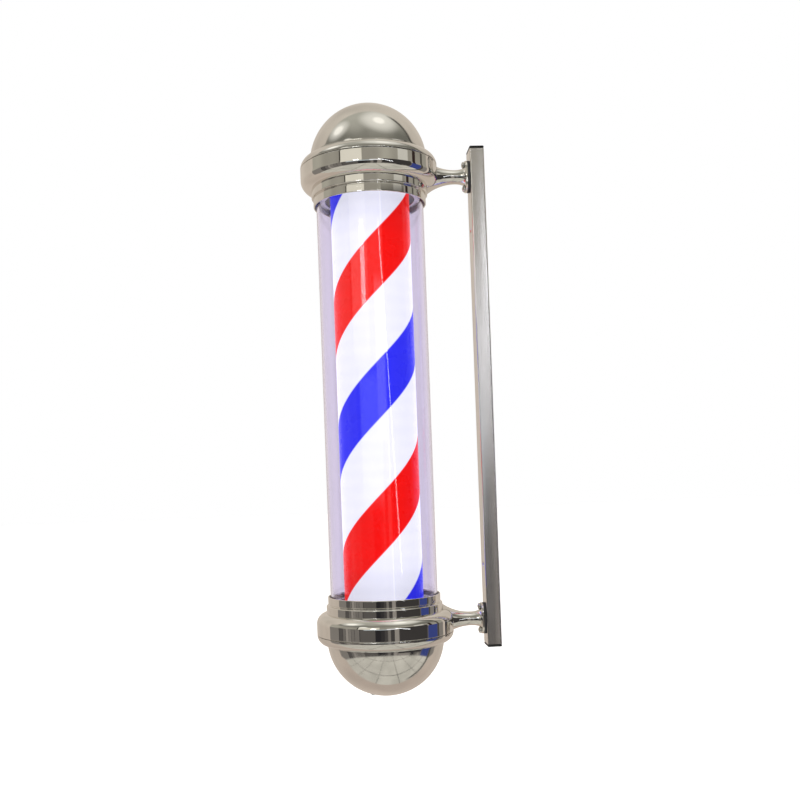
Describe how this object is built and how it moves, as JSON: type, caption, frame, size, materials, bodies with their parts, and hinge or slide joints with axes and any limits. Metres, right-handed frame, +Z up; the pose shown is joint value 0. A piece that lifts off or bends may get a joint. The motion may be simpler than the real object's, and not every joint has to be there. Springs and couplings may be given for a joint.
{
  "type": "barber pole light",
  "caption": "Wall-mounted barber pole light: a lit striped drum turns in a clear tube between chromed domed ends on a steel wall rail.",
  "frame": {"origin": "centre of the rail back face, halfway up", "axes": "+Z up along the pole, +Y into the wall, +X to the right for someone facing the wall"},
  "size_m": [0.162, 0.218, 0.7006],
  "materials": {
    "chrome": "polished",
    "dome_chrome": "soft satin polish",
    "brushed_rail": "vertical brush",
    "zinc_steel": "zinc plated",
    "brass": "machined",
    "clear_tube": "clear acrylic",
    "stripe_film": "red, white and blue print, lit from behind",
    "opal_plastic": "translucent opal",
    "nylon": "moulded",
    "rubber": "matt",
    "black_plastic": "moulded",
    "led_board": "white board",
    "aluminium_profile": "extruded",
    "casing": "moulded"
  },
  "bodies": {
    "frame": {"upper_ring": "chrome", "upper_dome": "dome_chrome", "upper_arm": "chrome", "upper_arm_pad": "rubber", "upper_plate": "zinc_steel", "upper_neck_gasket": "rubber", "upper_tube_seal": "rubber", "upper_tube_collar": "dome_chrome", "upper_bush": "nylon", "upper_post_washer": "zinc_steel", "upper_post_nut": "brass", "upper_arm_bolt": "zinc_steel", "upper_arm_screw_outer": "chrome", "upper_arm_screw_inner": "chrome", "upper_dome_screw_1": "chrome", "upper_dome_screw_2": "chrome", "rail_upper_cap": "black_plastic", "lower_ring": "chrome", "lower_dome": "dome_chrome", "lower_arm": "chrome", "lower_arm_pad": "rubber", "lower_plate": "zinc_steel", "lower_neck_gasket": "rubber", "lower_tube_seal": "rubber", "lower_tube_collar": "dome_chrome", "lower_bush": "nylon", "lower_post_washer": "zinc_steel", "lower_post_nut": "brass", "lower_arm_bolt": "zinc_steel", "lower_arm_screw_outer": "chrome", "lower_arm_screw_inner": "chrome", "lower_dome_screw_1": "chrome", "lower_dome_screw_2": "chrome", "rail_lower_cap": "black_plastic", "rail": "brushed_rail", "outer_tube": "clear_tube", "centre_post": "zinc_steel", "led_profile": "aluminium_profile", "motor_gearbox": "zinc_steel", "motor_can": "aluminium_profile", "motor_screw_1": "zinc_steel", "motor_screw_2": "zinc_steel", "led_driver": "casing", "driver_screw_1": "zinc_steel", "driver_screw_2": "zinc_steel", "terminal_block": "opal_plastic", "lead_clamp": "nylon", "lead_grommet": "rubber", "led_strip_1": "led_board", "led_strip_2": "led_board", "led_strip_3": "led_board", "led_strip_4": "led_board"},
    "drum": {"drum_film": "stripe_film", "drum_shell": "opal_plastic", "drum_upper_disc": "opal_plastic", "drum_lower_disc": "opal_plastic", "drum_gear": "nylon"},
    "motor_output": {"motor_pinion": "nylon"}
  },
  "joints": [
    {"name": "drum_spin", "type": "hinge", "parent": "frame", "child": "drum", "pos_m": [0, -0.137, 0], "axis": [0, 0, 1], "continuous": true},
    {"name": "motor_shaft_spin", "type": "hinge", "parent": "frame", "child": "motor_output", "pos_m": [0, -0.1745, 0], "axis": [0, 0, 1], "continuous": true}
  ],
  "couplings": [
    {"joint": "motor_shaft_spin", "follows": "drum_spin", "ratio": -4}
  ]
}
